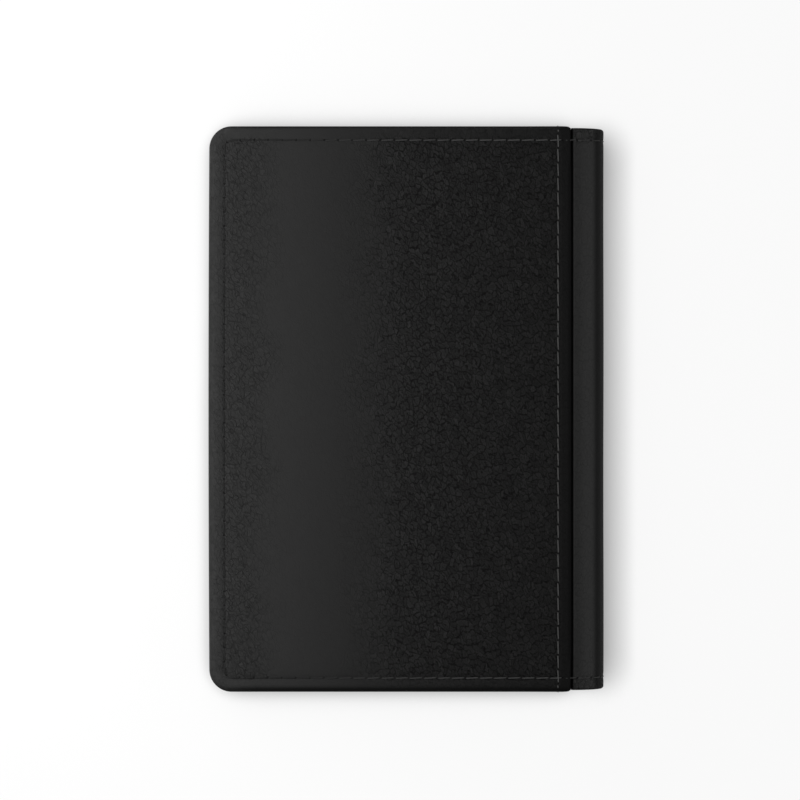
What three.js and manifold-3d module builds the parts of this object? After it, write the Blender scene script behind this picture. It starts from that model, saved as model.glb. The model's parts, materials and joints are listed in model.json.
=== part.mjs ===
// Travel document cover: a padded faux-leather book cover that closes round a passport.
// Units are millimetres and +Z is up. The cover lies closed on its front face, as on a table:
// the back face looks up, the spine is on the +X side and the head (top edge) points to +Y.
// The origin is in the middle of the outline, on the surface that the cover lies on.

import * as THREE from "three";
import { mergeVertices } from "three/addons/utils/BufferGeometryUtils.js";
import Module from "manifold-3d";

const wasm = await Module();
wasm.setup();

// Outline of a panel
const COVER_HEIGHT = 147; // head to tail
const PANEL_WIDTH = 94.5; // free edge to the crease beside the spine
const CORNER_RADIUS = 5.8; // the two corners at the free edge
const EDGE_ROLL = 1.5; // rounding of the leather over the panel's edge
const CREASE_CORNER_EASE = 0.5; // corner radius beside the spine, inside the roll
const HEM_WIDTH = 5; // leather folded double round the panel, which the seams go through

// Spine
const SPINE_RADIUS = 8.5; // outside; the closed cover is twice this thick
const SPINE_HALVES = ["front", "back"]; // they meet at a fold line along the spine's middle
const FOLD_GAP = 0.3; // between two neighbours at a fold line
const SPINE_SETBACK = 0.5; // how far the spine ends inside the panels, at head and tail
const SPINE_LINING = 0.6;

// Thickness of each layer, from the outside in
const LEATHER = 0.8;
const FOAM = 1;
const BOARD = 0.8;
const SHIELD = 0.15;
const LINING = 0.4;
const TURN_IN = 0.7;
const SLEEVE = 0.6;
const BOARDING_POCKET = 0.5;
const CARD_SLOT = 0.4;
const SIM_POCKET = 0.4;
const GLUE_LINE = 0.1; // between two layers
const FIT = 0.3; // round a piece that drops into a frame, and between pieces side by side

// Turned-in edges and the strip along the spine
const TURN_IN_WIDTH = 9;
const TURN_IN_INSET = 0.8; // from the panel's edge
const FLANGE_WIDTH = 8;

// Pockets
const POCKET_INSET = 1.2; // pocket sheets end this far inside the panel's edge
const SLEEVE_WIDTH = 66; // free edge to the sleeve's mouth, which faces the spine
const BOARDING_MOUTH_DROP = 12; // head edge to the boarding pass pocket's mouth
const CARD_SLOT_COUNT = 3;
const CARD_MOUTH_DROP = 35; // head edge to the first card slot's mouth
const CARD_MOUTH_STEP = 17;
const SIM_WIDTH = 30;
const SIM_HEIGHT = 18;
const SIM_SIDE_GAP = 12; // from the free edge
const SIM_FOOT_GAP = 2.5; // above the first card slot's mouth

// Seams: a thread lies in a groove on the outside, and on top of the sheets inside
const SEAM_INSET = 3.65; // from the panel's edge, and from the crease
const THREAD_WIDTH = 0.45;
const THREAD_HEIGHT = 0.3;
const THREAD_SINK = 0.05; // below the leather's face, and between crossing threads
const GROOVE_CLEARANCE = 0.1; // each side of a thread

// Round detail
const CORNER_SEGMENTS = 6;
const ROLL_SEGMENTS = 4;
const SPINE_SEGMENTS = 16; // in each half

// Places worked out from the sizes above
const HALF_HEIGHT = COVER_HEIGHT / 2;
const CLOSED_THICKNESS = 2 * SPINE_RADIUS;
const FREE_EDGE_X = -(PANEL_WIDTH + SPINE_RADIUS) / 2;
const CREASE_X = FREE_EDGE_X + PANEL_WIDTH;
const PANEL_END_X = CREASE_X - FOLD_GAP / 2;
const CREASE_CORNER_RADIUS = EDGE_ROLL + CREASE_CORNER_EASE;

// Levels above a panel's outer face
const FOAM_Z = LEATHER + GLUE_LINE;
const BOARD_Z = FOAM_Z + FOAM + GLUE_LINE;
const SHIELD_Z = BOARD_Z + BOARD + GLUE_LINE;
const LINING_Z = SHIELD_Z + SHIELD + GLUE_LINE;
const HEM_TOP = LINING_Z + LINING;
const TURN_IN_Z = HEM_TOP + GLUE_LINE;
const TURN_IN_TOP = TURN_IN_Z + TURN_IN;
const SLEEVE_Z = TURN_IN_TOP + GLUE_LINE;
const BOARDING_Z = TURN_IN_TOP + GLUE_LINE;
const BOARDING_TOP = BOARDING_Z + BOARDING_POCKET;

// Colour, roughness and metalness of each material
const BLACK_LEATHER = { color: 0x1c1c1c, roughness: 0.55, metalness: 0 };
const POCKET_LEATHER = { color: 0x202021, roughness: 0.6, metalness: 0 };
const LINING_CLOTH = { color: 0x2a2a2c, roughness: 0.9, metalness: 0 };
const GREY_FOAM = { color: 0x5a5a5c, roughness: 0.95, metalness: 0 };
const GREY_BOARD = { color: 0x9a9286, roughness: 0.9, metalness: 0 };
const SHIELD_FOIL = { color: 0xb8bcc0, roughness: 0.35, metalness: 0.9 };
const GREY_THREAD = { color: 0x4a4a4a, roughness: 0.8, metalness: 0 };

// Turns a closed three.js geometry into a solid that can be cut and joined.
function solidOf(geometry) {
  const bare = geometry.clone();
  bare.deleteAttribute("normal");
  bare.deleteAttribute("uv");
  const merged = mergeVertices(bare, 1e-4);
  const triVerts = merged.index
    ? new Uint32Array(merged.index.array)
    : Uint32Array.from({ length: merged.attributes.position.count }, (_, i) => i);
  const vertProperties = merged.attributes.position.array;
  return new wasm.Manifold(new wasm.Mesh({ numProp: 3, vertProperties, triVerts }));
}

// Turns a solid back into a three.js geometry.
function geometryOf(solid) {
  const mesh = solid.getMesh();
  return new THREE.BufferGeometry()
    .setAttribute("position", new THREE.BufferAttribute(mesh.vertProperties, 3))
    .setIndex(new THREE.BufferAttribute(mesh.triVerts, 1));
}

// A rectangle with its own corner radius on the free edge side and on the spine side.
function roundedRectangle(left, right, bottom, top, freeRadius, creaseRadius) {
  const turn = Math.PI / 2;
  return new THREE.Shape()
    .moveTo(right, top - creaseRadius)
    .absarc(right - creaseRadius, top - creaseRadius, creaseRadius, 0, turn)
    .absarc(left + freeRadius, top - freeRadius, freeRadius, turn, 2 * turn)
    .absarc(left + freeRadius, bottom + freeRadius, freeRadius, 2 * turn, 3 * turn)
    .absarc(right - creaseRadius, bottom + creaseRadius, creaseRadius, 3 * turn, 4 * turn)
    .closePath();
}

// The corner radius that is left once an outline is drawn in by an inset.
const insetRadius = (radius, inset) => Math.max(radius - inset, FIT);

// The panel's outline, drawn in by an inset at its edges and by another beside the spine.
function panelOutline(inset, creaseInset = inset) {
  return roundedRectangle(
    FREE_EDGE_X + inset,
    PANEL_END_X - creaseInset,
    inset - HALF_HEIGHT,
    HALF_HEIGHT - inset,
    insetRadius(CORNER_RADIUS, inset),
    insetRadius(CREASE_CORNER_RADIUS, inset),
  );
}

// A flat sheet of a given outline whose outer face is at a level.
function sheet(outline, level, thickness) {
  const options = { depth: thickness, bevelEnabled: false, curveSegments: CORNER_SEGMENTS };
  return new THREE.ExtrudeGeometry(outline, options).translate(0, 0, level);
}

// A box given by its lowest and highest corners.
function block(low, high) {
  const size = high.map((value, axis) => value - low[axis]);
  const middle = high.map((value, axis) => (value + low[axis]) / 2);
  return new THREE.BoxGeometry(...size).translate(...middle);
}

// The part of a sheet that lies between two limits in X and in Y.
function trimmedSheet(outline, level, thickness, [left, right], [bottom, top]) {
  const window = block([left, bottom, level - 1], [right, top, level + thickness + 1]);
  return geometryOf(solidOf(sheet(outline, level, thickness)).intersect(solidOf(window)));
}

// A band of a given width along the edge seam: head, free edge and tail, open beside the spine.
function edgeSeamBand(width, endX) {
  const outer = SEAM_INSET - width / 2;
  const inner = SEAM_INSET + width / 2;
  const turn = Math.PI / 2;
  const outerRadius = insetRadius(CORNER_RADIUS, outer);
  const innerRadius = insetRadius(CORNER_RADIUS, inner);
  const [outerX, innerX] = [FREE_EDGE_X + outer + outerRadius, FREE_EDGE_X + inner + innerRadius];
  const outerY = HALF_HEIGHT - outer - outerRadius;
  const innerY = HALF_HEIGHT - inner - innerRadius;
  return new THREE.Shape()
    .moveTo(endX, HALF_HEIGHT - outer)
    .lineTo(outerX, HALF_HEIGHT - outer)
    .absarc(outerX, outerY, outerRadius, turn, 2 * turn)
    .absarc(outerX, -outerY, outerRadius, 2 * turn, 3 * turn)
    .lineTo(endX, outer - HALF_HEIGHT)
    .lineTo(endX, inner - HALF_HEIGHT)
    .absarc(innerX, -innerY, innerRadius, 3 * turn, 2 * turn, true)
    .absarc(innerX, innerY, innerRadius, 2 * turn, turn, true)
    .lineTo(endX, HALF_HEIGHT - inner)
    .closePath();
}

// A straight thread, or its groove, along Y at the seam beside the spine.
const CREASE_SEAM_X = CREASE_X - SEAM_INSET;
function creaseSeamBar(width, bottom, top, low, high) {
  return block([CREASE_SEAM_X - width / 2, low, bottom], [CREASE_SEAM_X + width / 2, high, top]);
}

// A named piece with a material of its own.
function mesh(name, geometry, finish) {
  const made = new THREE.Mesh(geometry, new THREE.MeshStandardMaterial(finish));
  made.name = name;
  return made;
}

// Levels of the two outer threads: the seam beside the spine runs under the edge seam.
const EDGE_THREAD_Z = THREAD_SINK;
const EDGE_GROOVE_DEPTH = EDGE_THREAD_Z + THREAD_HEIGHT + THREAD_SINK;
const CREASE_THREAD_Z = EDGE_GROOVE_DEPTH + THREAD_SINK;
const CREASE_GROOVE_DEPTH = CREASE_THREAD_Z + THREAD_HEIGHT + THREAD_SINK;
const GROOVE_WIDTH = THREAD_WIDTH + 2 * GROOVE_CLEARANCE;

// Outer leather: a rolled-edge face with a hem all round, which frames the padding.
function outerLeather() {
  const over = EDGE_ROLL + HEM_TOP; // the rolled block is made too thick, then cut at the hem
  const rolled = new THREE.ExtrudeGeometry(panelOutline(0), {
    depth: over,
    bevelThickness: EDGE_ROLL,
    bevelSize: EDGE_ROLL,
    bevelOffset: -EDGE_ROLL,
    bevelSegments: ROLL_SEGMENTS,
    curveSegments: CORNER_SEGMENTS,
  }).translate(0, 0, EDGE_ROLL);
  const aboveHem = block(
    [2 * FREE_EDGE_X, -COVER_HEIGHT, HEM_TOP],
    [-2 * FREE_EDGE_X, COVER_HEIGHT, HEM_TOP + 2 * over],
  );
  const padding = sheet(panelOutline(HEM_WIDTH), LEATHER, HEM_TOP);
  const edgeGroove = sheet(edgeSeamBand(GROOVE_WIDTH, CREASE_X), -1, 1 + EDGE_GROOVE_DEPTH);
  const creaseGroove = creaseSeamBar(
    GROOVE_WIDTH,
    -1,
    CREASE_GROOVE_DEPTH,
    -COVER_HEIGHT,
    COVER_HEIGHT,
  );
  return [aboveHem, padding, edgeGroove, creaseGroove].reduce(
    (left, cut) => left.subtract(solidOf(cut)),
    solidOf(rolled),
  );
}

// The pieces that both panels have, with the outer face down at level 0. The panel's ends, head
// and tail, are named from +Y to -Y.
function panelPieces(side, [plusEnd, minusEnd]) {
  const inHem = panelOutline(HEM_WIDTH + FIT);
  const turned = panelOutline(TURN_IN_INSET, FOLD_GAP);
  const turnedY = HALF_HEIGHT - TURN_IN_WIDTH;
  const betweenY = [FIT - turnedY, turnedY - FIT];
  const allX = [2 * FREE_EDGE_X, -2 * FREE_EDGE_X];
  const turnIn = (xs, ys) => trimmedSheet(turned, TURN_IN_Z, TURN_IN, xs, ys);
  const edgeThread = edgeSeamBand(THREAD_WIDTH, PANEL_END_X - EDGE_ROLL);
  const creaseThreadY = HALF_HEIGHT - EDGE_ROLL;
  return [
    mesh(`${side}_leather`, geometryOf(outerLeather()), BLACK_LEATHER),
    mesh(`${side}_foam`, sheet(inHem, FOAM_Z, FOAM), GREY_FOAM),
    mesh(`${side}_board`, sheet(inHem, BOARD_Z, BOARD), GREY_BOARD),
    mesh(`${side}_rfid_shield`, sheet(inHem, SHIELD_Z, SHIELD), SHIELD_FOIL),
    mesh(`${side}_lining`, sheet(inHem, LINING_Z, LINING), LINING_CLOTH),
    mesh(`${side}_turn_in_${plusEnd}`, turnIn(allX, [turnedY, HALF_HEIGHT]), BLACK_LEATHER),
    mesh(`${side}_turn_in_${minusEnd}`, turnIn(allX, [-HALF_HEIGHT, -turnedY]), BLACK_LEATHER),
    mesh(
      `${side}_turn_in_fore`,
      turnIn([FREE_EDGE_X, FREE_EDGE_X + TURN_IN_WIDTH], betweenY),
      BLACK_LEATHER,
    ),
    mesh(
      `${side}_spine_flange`,
      turnIn([CREASE_X - FLANGE_WIDTH, CREASE_X], betweenY),
      POCKET_LEATHER,
    ),
    mesh(
      `${side}_edge_seam`,
      sheet(edgeThread, EDGE_THREAD_Z, THREAD_HEIGHT),
      GREY_THREAD,
    ),
    mesh(
      `${side}_crease_seam`,
      creaseSeamBar(
        THREAD_WIDTH,
        CREASE_THREAD_Z,
        CREASE_THREAD_Z + THREAD_HEIGHT,
        -creaseThreadY,
        creaseThreadY,
      ),
      GREY_THREAD,
    ),
  ];
}

// Front panel: the passport sleeve, open towards the spine, and the threads that show inside.
function frontPanel() {
  const sleeveMouthX = FREE_EDGE_X + SLEEVE_WIDTH;
  const sleeve = trimmedSheet(
    panelOutline(POCKET_INSET),
    SLEEVE_Z,
    SLEEVE,
    [FREE_EDGE_X, sleeveMouthX],
    [-HALF_HEIGHT, HALF_HEIGHT],
  );
  const sleeveThread = edgeSeamBand(THREAD_WIDTH, sleeveMouthX - FIT);
  const flangeThreadY = HALF_HEIGHT - TURN_IN_WIDTH - 2 * FIT;
  const flangeThreadZ = TURN_IN_TOP + GLUE_LINE;
  const group = new THREE.Group();
  group.add(
    ...panelPieces("front", ["head", "tail"]),
    mesh("passport_sleeve", sleeve, POCKET_LEATHER),
    mesh(
      "passport_sleeve_seam",
      sheet(sleeveThread, SLEEVE_Z + SLEEVE + GLUE_LINE, THREAD_HEIGHT),
      GREY_THREAD,
    ),
    mesh(
      "front_flange_seam",
      creaseSeamBar(
        THREAD_WIDTH,
        flangeThreadZ,
        flangeThreadZ + THREAD_HEIGHT,
        -flangeThreadY,
        flangeThreadY,
      ),
      GREY_THREAD,
    ),
  );
  return group;
}

// Back panel pockets. The panel is turned over about X, so here the head is towards -Y.
const HEAD_Y = -HALF_HEIGHT;
const BOARDING_MOUTH_Y = HEAD_Y + BOARDING_MOUTH_DROP;
const cardMouthY = (slot) => HEAD_Y + CARD_MOUTH_DROP + slot * CARD_MOUTH_STEP;
const cardSlotZ = (slot) => BOARDING_TOP + GLUE_LINE + slot * (CARD_SLOT + GLUE_LINE);

// A thread along Y that climbs from the boarding pass pocket over each card slot's mouth to the tail.
function steppedThread(centreX) {
  const shape = new THREE.Shape();
  const startY = BOARDING_MOUTH_Y + FIT;
  const endY = HALF_HEIGHT - SEAM_INSET - THREAD_WIDTH;
  const steps = [{ y: startY, z: BOARDING_TOP + GLUE_LINE }];
  for (let slot = 0; slot < CARD_SLOT_COUNT; slot++) {
    const top = cardSlotZ(slot) + CARD_SLOT;
    steps.push({ y: cardMouthY(slot) - FIT, z: top + GLUE_LINE });
  }
  const upper = steps.map(({ y, z }) => ({ y: y - THREAD_HEIGHT, z: z + THREAD_HEIGHT }));
  upper[0].y = startY;
  const tread = (edge, index) => [edge[index].y, edge[index].z];
  shape.moveTo(...tread(steps, 0));
  for (let index = 1; index < steps.length; index++) {
    shape.lineTo(steps[index].y, steps[index - 1].z).lineTo(...tread(steps, index));
  }
  shape.lineTo(endY, steps[steps.length - 1].z).lineTo(endY, upper[upper.length - 1].z);
  for (let index = upper.length - 1; index > 0; index--) {
    shape.lineTo(...tread(upper, index)).lineTo(upper[index].y, upper[index - 1].z);
  }
  shape.lineTo(...tread(upper, 0)).closePath();
  const options = { depth: THREAD_WIDTH, bevelEnabled: false };
  // The profile is drawn in Y and Z, so the extrusion is turned to run along X.
  return new THREE.ExtrudeGeometry(shape, options)
    .rotateX(Math.PI / 2)
    .rotateZ(Math.PI / 2)
    .translate(centreX - THREAD_WIDTH / 2, 0, 0);
}

// Back panel: boarding pass pocket open at the head, card slots and SIM pocket on it.
function backPanel() {
  const pocketOutline = panelOutline(POCKET_INSET);
  const allX = [FREE_EDGE_X, CREASE_X];
  const pocket = (level, thickness, mouthY) =>
    trimmedSheet(pocketOutline, level, thickness, allX, [mouthY, HALF_HEIGHT]);
  const group = new THREE.Group();
  group.add(
    ...panelPieces("back", ["tail", "head"]),
    mesh(
      "boarding_pass_pocket",
      pocket(BOARDING_Z, BOARDING_POCKET, BOARDING_MOUTH_Y),
      POCKET_LEATHER,
    ),
  );
  for (let slot = 0; slot < CARD_SLOT_COUNT; slot++) {
    const slotSheet = pocket(cardSlotZ(slot), CARD_SLOT, cardMouthY(slot));
    group.add(mesh(`card_slot_${slot + 1}`, slotSheet, POCKET_LEATHER));
  }
  const simLeft = FREE_EDGE_X + SIM_SIDE_GAP;
  const simFootY = cardMouthY(0) - SIM_FOOT_GAP;
  const simOutline = roundedRectangle(
    simLeft,
    simLeft + SIM_WIDTH,
    simFootY - SIM_HEIGHT,
    simFootY,
    FIT,
    FIT,
  );
  const simPocket = sheet(simOutline, BOARDING_TOP + GLUE_LINE, SIM_POCKET);
  group.add(mesh("sim_pocket", simPocket, POCKET_LEATHER));

  const lastTop = cardSlotZ(CARD_SLOT_COUNT - 1) + CARD_SLOT + GLUE_LINE;
  const foreSeamX = FREE_EDGE_X + SEAM_INSET;
  const tailSeamY = HALF_HEIGHT - SEAM_INSET;
  const tailThread = block(
    [foreSeamX, tailSeamY - THREAD_WIDTH / 2, lastTop],
    [CREASE_SEAM_X, tailSeamY + THREAD_WIDTH / 2, lastTop + THREAD_HEIGHT],
  );
  group.add(
    mesh("pocket_seam_fore", steppedThread(foreSeamX), GREY_THREAD),
    mesh("pocket_seam_crease", steppedThread(CREASE_SEAM_X), GREY_THREAD),
    mesh("pocket_seam_tail", tailThread, GREY_THREAD),
  );
  group.rotation.x = Math.PI;
  group.position.z = CLOSED_THICKNESS;
  return group;
}

// A slice of the spine's round wall, in one half, between two places along Y.
function spineSlice(half, outerRadius, thickness, low, high) {
  const span = Math.PI / SPINE_HALVES.length;
  const halfGap = FOLD_GAP / 2 / outerRadius;
  const start = -Math.PI / 2 + half * span + halfGap;
  const end = start + span - 2 * halfGap;
  const innerRadius = outerRadius - thickness;
  const wall = new THREE.Shape()
    .absarc(0, 0, outerRadius, start, end)
    .absarc(0, 0, innerRadius, end, start, true)
    .closePath();
  const options = { depth: high - low, bevelEnabled: false, curveSegments: SPINE_SEGMENTS };
  // The slice is drawn in X and Z, so the extrusion is turned to run along Y.
  return new THREE.ExtrudeGeometry(wall, options)
    .rotateX(Math.PI / 2)
    .translate(CREASE_X, high, SPINE_RADIUS);
}

// Spine: leather outside and lining inside, and the edge seams that run on across it.
function spine() {
  const group = new THREE.Group();
  const endY = HALF_HEIGHT - SPINE_SETBACK;
  const seamY = HALF_HEIGHT - SEAM_INSET;
  const seams = { head: seamY, tail: -seamY };
  const liningRadius = SPINE_RADIUS - LEATHER - GLUE_LINE;
  SPINE_HALVES.forEach((name, half) => {
    const across = (y, width, radius, depth) =>
      spineSlice(half, radius, depth, y - width / 2, y + width / 2);
    const groove = (y) => across(y, GROOVE_WIDTH, SPINE_RADIUS + 1, 1 + EDGE_GROOVE_DEPTH);
    const leather = Object.values(seams).reduce(
      (left, y) => left.subtract(solidOf(groove(y))),
      solidOf(spineSlice(half, SPINE_RADIUS, LEATHER, -endY, endY)),
    );
    const lining = spineSlice(half, liningRadius, SPINE_LINING, -endY, endY);
    group.add(
      mesh(`spine_leather_${name}`, geometryOf(leather), BLACK_LEATHER),
      mesh(`spine_lining_${name}`, lining, LINING_CLOTH),
    );
    for (const [end, y] of Object.entries(seams)) {
      const thread = across(y, THREAD_WIDTH, SPINE_RADIUS - EDGE_THREAD_Z, THREAD_HEIGHT);
      group.add(mesh(`spine_seam_${end}_${name}`, thread, GREY_THREAD));
    }
  });
  return group;
}

const cover = new THREE.Group();
cover.add(frontPanel(), spine(), backPanel());

export default cover;
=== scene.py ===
"""Leather, linings, pockets and stitches of a travel document cover, built round its CAD model.

Shapes are computed in millimetres and written to the meshes in metres. A panel is worked out as
x, y and depth, where depth counts inwards from the panel's outer face: the front panel's height is
its depth, and the back panel's is the closed thickness less its depth.
"""
import json

import bpy
import numpy as np
from bpy.props import FloatProperty, FloatVectorProperty, PointerProperty
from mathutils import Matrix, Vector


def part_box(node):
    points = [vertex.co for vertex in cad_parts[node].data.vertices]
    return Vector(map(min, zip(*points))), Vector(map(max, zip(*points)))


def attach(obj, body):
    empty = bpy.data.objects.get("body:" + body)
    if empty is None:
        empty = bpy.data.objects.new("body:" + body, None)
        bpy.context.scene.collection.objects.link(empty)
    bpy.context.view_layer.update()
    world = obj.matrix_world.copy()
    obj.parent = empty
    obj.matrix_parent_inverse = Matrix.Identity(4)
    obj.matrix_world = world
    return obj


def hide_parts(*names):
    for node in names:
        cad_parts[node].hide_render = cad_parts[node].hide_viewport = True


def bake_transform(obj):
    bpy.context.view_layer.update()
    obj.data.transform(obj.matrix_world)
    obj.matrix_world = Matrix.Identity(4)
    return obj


bl_info = {
    "name": "Travel Document Cover",
    "version": (1, 0, 0),
    "blender": (4, 5, 0),
    "location": "3D View > Sidebar > Cover",
    "description": "Makes the leather, linings, pockets and stitches of a travel document cover",
    "category": "Object",
}

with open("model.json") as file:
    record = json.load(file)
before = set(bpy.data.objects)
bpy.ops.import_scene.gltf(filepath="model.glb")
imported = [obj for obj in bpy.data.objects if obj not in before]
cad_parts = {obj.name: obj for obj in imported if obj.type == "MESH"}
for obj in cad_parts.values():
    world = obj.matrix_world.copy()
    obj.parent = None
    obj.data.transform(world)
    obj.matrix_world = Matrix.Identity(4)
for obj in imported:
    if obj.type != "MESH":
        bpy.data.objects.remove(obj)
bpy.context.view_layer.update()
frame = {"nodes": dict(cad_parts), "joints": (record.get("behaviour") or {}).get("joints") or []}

MM = 0.001
TURN = np.pi / 2


def box_mm(node):
    """A node's lowest and highest corners, in millimetres."""
    return np.array([list(corner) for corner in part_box(node)]) / MM


# Places that come from the CAD model
CAD_THREAD = 0.45  # width of its threads
CAD_SPINE_LINING = 0.6  # thickness of its spine lining
SIDES = {"front": "front_cover", "back": "back_cover"}
HINGES = {joint["name"]: np.array(joint["pos_m"]) / MM for joint in frame["joints"]}
CREASE_X, _, THICKNESS = HINGES["back_crease"]
SPINE_RADIUS = THICKNESS / 2
PANEL_LOW, PANEL_HIGH = box_mm("front_leather")
HALF_HEIGHT = PANEL_HIGH[1]
SPINE_HALF_HEIGHT = box_mm("spine_leather_front")[1][1]
LIP_DEPTH = box_mm("front_turn_in_head")[1][2]
LIP_WIDTH = HALF_HEIGHT - box_mm("front_turn_in_head")[0][1]
HEM_DEPTH = PANEL_HIGH[2] - 0.1
CREASE_SEAM_X = box_mm("front_crease_seam")[:, 0].mean()
SEAM_INSET = box_mm("front_edge_seam")[:, 0].min() - PANEL_LOW[0] + CAD_THREAD / 2
LINING_RADIUS = SPINE_RADIUS - box_mm("spine_lining_front")[0][2] - CAD_SPINE_LINING

# Measures of the leather work that the CAD model leaves plain
EDGE_BAND = 12.0  # width of the zone round a panel that follows its outline
CREASE_CORNER = 0.9  # radius of a panel's corners beside the spine
EDGE_BOW = 0.26  # how far the free edge is drawn in towards its corners
DROP_FROM, CORNER_DROP = 40.2, 0.25  # where the corners by the spine start to drop, and how far
SEAM_DEPTH = 0.215  # how deep the edge seam draws the leather in
FREE_SEAM_INSET = SEAM_INSET + 0.45  # the seam runs further in beside the free edge
HOLE_X = 40.64  # a needle hole of the head seam, from which the others are counted
TAIL_SEAM_X = 40.8  # where the edge seam ends at the tail
HOLE_Y = 67.8  # a needle hole of the crease seam
SPINE_HOLE = 1.29  # from a crease to the spine's first needle hole, round the spine
SPINE_STITCHES = 3  # of the head or tail seam, on each half of the spine
SPINE_LEATHER = 0.55  # thickness of the spine's leather
SPINE_HEM = 0.75  # half the thickness of the spine's turned head and tail
FOLD_U = 70.0  # where the spine's fold lies in the leather's flat pattern
STRIP_END = 64.1  # half the length of the lining strips beside and in the spine
LINING_BAND = 3.0  # width of the zone round a panel's lining that follows its outline
PATH_STEP = 0.1  # from one point of a seam's path to the next
SUNK = 0.03  # how far an inner seam lies below the face of its sheet
SHARP_EDGE = np.radians(55)  # a sheet's edges that turn by more than this stay crisp
GRAIN_LEAN, GRAIN_SHAPE = (0, 0, -0.69 * TURN), (1.45, 0.8, 1)  # of the leather's pebbles


class CoverSizes(bpy.types.PropertyGroup):
    """Sizes of the leather and thread that a user may change."""

    corner_radius: FloatProperty(
        name="Corner radius", description="Of the two corners at the free edge",
        default=5.8 * MM, unit="LENGTH")
    leather: FloatProperty(
        name="Leather", description="Thickness of the outer leather",
        default=0.6 * MM, unit="LENGTH")
    stitch_pitch: FloatProperty(
        name="Edge stitch", description="From one needle hole to the next round the edges",
        default=3.65 * MM, unit="LENGTH")
    crease_pitch: FloatProperty(
        name="Crease stitch", description="From one needle hole to the next beside the spine",
        default=3.76 * MM, unit="LENGTH")
    thread: FloatProperty(
        name="Thread", description="Width of the sewing thread",
        default=0.31 * MM, unit="LENGTH")
    grain: FloatProperty(
        name="Grain", description="Width of one pebble of the leather's grain",
        default=1.3 * MM, unit="LENGTH")
    weave: FloatProperty(
        name="Weave", description="From one yarn of the lining to the next",
        default=0.5 * MM, unit="LENGTH")


class CoverColours(bpy.types.PropertyGroup):
    """Colours that a user may change."""

    leather: FloatVectorProperty(
        name="Leather", description="Outer leather", subtype="COLOR",
        default=(0.0130, 0.0130, 0.0129))
    # Lighter than the panel leather: partly its own tone and partly a painted highlight on the
    # spine
    spine: FloatVectorProperty(
        name="Spine", description="Leather of the spine, which is smoother", subtype="COLOR",
        default=(0.0310, 0.0310, 0.0308))
    pocket: FloatVectorProperty(
        name="Pockets", description="Leather of the pockets and the sleeve", subtype="COLOR",
        default=(0.012, 0.012, 0.0125))
    lining: FloatVectorProperty(
        name="Lining", description="Lining cloth", subtype="COLOR",
        default=(0.021, 0.021, 0.023))
    thread: FloatVectorProperty(
        name="Thread", description="Sewing thread", subtype="COLOR",
        default=(0.115, 0.115, 0.114))


class Value:
    """A node's output, which can be added to, taken from and multiplied as a number can."""

    def __init__(self, nodes, socket):
        self.nodes, self.socket = nodes, socket

    def __add__(self, other):
        return self.nodes.math("ADD", self, other)

    def __sub__(self, other):
        return self.nodes.math("SUBTRACT", self, other)

    def __mul__(self, other):
        return self.nodes.math("MULTIPLY", self, other)

    def ramp(self, low, high, start=0.0, end=1.0):
        """A smooth step from start to end as the value goes from low to high."""
        inputs = {"Value": self, "From Min": low, "From Max": high, "To Min": start, "To Max": end}
        return self.nodes.add("MapRange", inputs, interpolation_type="SMOOTHSTEP")


class Nodes:
    """Short calls that build one material's node tree."""

    def __init__(self, name):
        self.material = bpy.data.materials.new(name)
        self.material.use_nodes = True
        self.tree = self.material.node_tree
        self.shader = self.tree.nodes["Principled BSDF"]

    def feed(self, socket, value):
        """Links an input to a node's output, or sets its value."""
        if isinstance(value, Value):
            self.tree.links.new(value.socket, socket)
        else:
            socket.default_value = value

    def add(self, kind, inputs=None, output=0, **settings):
        """Adds a node with its settings and inputs, and gives back one of its outputs."""
        node = self.tree.nodes.new("ShaderNode" + kind)
        for key, value in settings.items():
            setattr(node, key, value)
        for key, value in (inputs or {}).items():
            self.feed(node.inputs[key], value)
        return Value(self, node.outputs[output])

    def math(self, operation, *values):
        """One sum on numbers or outputs."""
        return self.add("Math", dict(enumerate(values)), operation=operation)

    def most(self, value, *others):
        """The greatest of some values."""
        for other in others:
            value = self.math("MAXIMUM", value, other)
        return value

    def flat(self):
        """The piece's flat pattern, in millimetres."""
        return self.add("UVMap", uv_map="flat")

    def mark(self, name):
        """A number that is stored at the piece's points."""
        return self.add("Attribute", output=2, attribute_name=name)

    def split(self, vector):
        """The first two parts of a vector."""
        return [self.add("SeparateXYZ", {0: vector}, axis) for axis in (0, 1)]

    def noise(self, vector, scale, detail=2.0, rough=0.5, output=0):
        """A cloudy pattern at a scale per unit of the vector."""
        inputs = {"Vector": vector, "Scale": scale, "Detail": detail, "Roughness": rough}
        return self.add("TexNoise", inputs, output)

    def wander(self, place, vector, scale, reach, centre):
        """A place that is moved about by a cloudy pattern, less its centre, times a reach."""
        cloud = self.noise(vector, scale, output=1)
        inputs = {0: cloud, 1: (centre, centre, centre)}
        moved = self.add("VectorMath", inputs, operation="SUBTRACT")
        inputs = {0: moved, 1: (reach, reach, 0), 2: place}
        return self.add("VectorMath", inputs, operation="MULTIPLY_ADD")

    def net(self, vector, scale, output=0, **settings):
        """A flat net of cells at a scale per unit of the vector."""
        inputs = {"Vector": vector, "Scale": scale}
        return self.add("TexVoronoi", inputs, output, voronoi_dimensions="2D", **settings)

    def mix(self, share, first, second):
        """A colour between two colours."""
        return self.add("Mix", {0: share, 6: first, 7: second}, output=2, data_type="RGBA")

    def shade(self, share, colour, low, high):
        """A colour between two strengths of one colour."""
        return self.mix(share, rgba(colour, low), rgba(colour, high))

    def bump(self, height, distance, strength=1.0):
        """A relief in which a height of one stands for a distance in millimetres."""
        inputs = {"Height": height, "Distance": distance * MM, "Strength": strength}
        return self.add("Bump", inputs)

    def finish(self, **values):
        """Feeds the surface shader's inputs, with _ for a space in their names."""
        for key, value in values.items():
            self.feed(self.shader.inputs[key.replace("_", " ")], value)
        return self.material


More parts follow.
